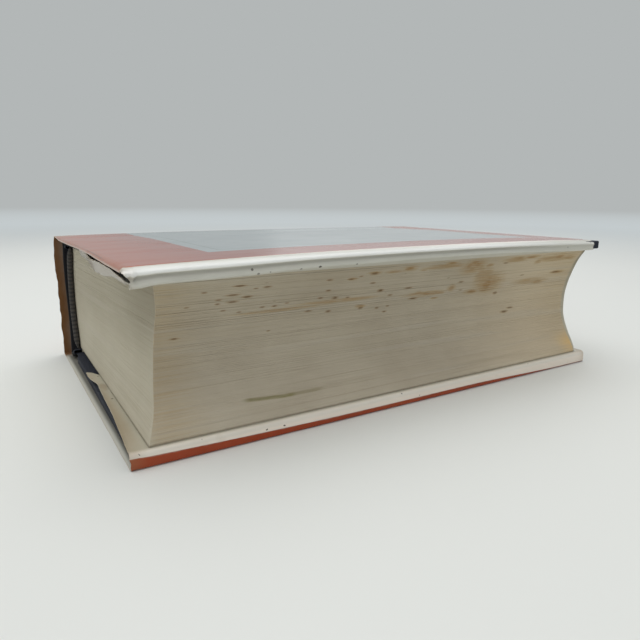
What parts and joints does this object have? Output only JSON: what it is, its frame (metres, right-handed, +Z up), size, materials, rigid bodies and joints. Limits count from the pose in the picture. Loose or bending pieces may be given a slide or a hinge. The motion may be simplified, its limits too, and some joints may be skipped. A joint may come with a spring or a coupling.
{
  "type": "hardback book",
  "caption": "Thick worn hardback book lying closed on its lower cover, with cloth-covered boards, a rounded back, a hollow fore-edge, and a loose printed paper jacket.",
  "frame": {"origin": "under the middle of the closed book, on the surface that it lies on", "axes": "+X from the tail of the book to its head, +Y from the fore-edge to the spine, +Z up from the lower cover to the upper cover"},
  "size_m": [0.2424, 0.1588, 0.0655],
  "materials": {
    "printed_jacket": "gloss",
    "book_cloth": "matte",
    "binders_board": "matte",
    "endpaper": "matte",
    "page_paper": "matte",
    "woven_band": "matte",
    "mull_gauze": "matte",
    "kraft_paper": "matte",
    "spine_card": "matte"
  },
  "bodies": {
    "pages_and_spine": {"text_block": "page_paper", "back_flyleaf": "endpaper", "front_flyleaf": "endpaper", "tail_band": "woven_band", "head_band": "woven_band", "spine_mull": "mull_gauze", "spine_lining_paper": "kraft_paper", "spine_card": "spine_card", "spine_cloth": "book_cloth", "jacket_spine": "printed_jacket"},
    "back_cover": {"back_board": "binders_board", "back_cloth": "book_cloth", "back_pastedown": "endpaper", "jacket_back": "printed_jacket"},
    "front_cover": {"front_board": "binders_board", "front_cloth": "book_cloth", "front_pastedown": "endpaper", "jacket_front": "printed_jacket"}
  },
  "joints": [
    {"name": "front_cover_hinge", "type": "hinge", "parent": "pages_and_spine", "child": "front_cover", "pos_m": [0, 0.06145, 0.0655], "axis": [-1, 0, 0], "range_deg": [0, 180]},
    {"name": "back_cover_hinge", "type": "hinge", "parent": "pages_and_spine", "child": "back_cover", "pos_m": [0, 0.06145, 0], "axis": [1, 0, 0], "range_deg": [0, 180]}
  ]
}
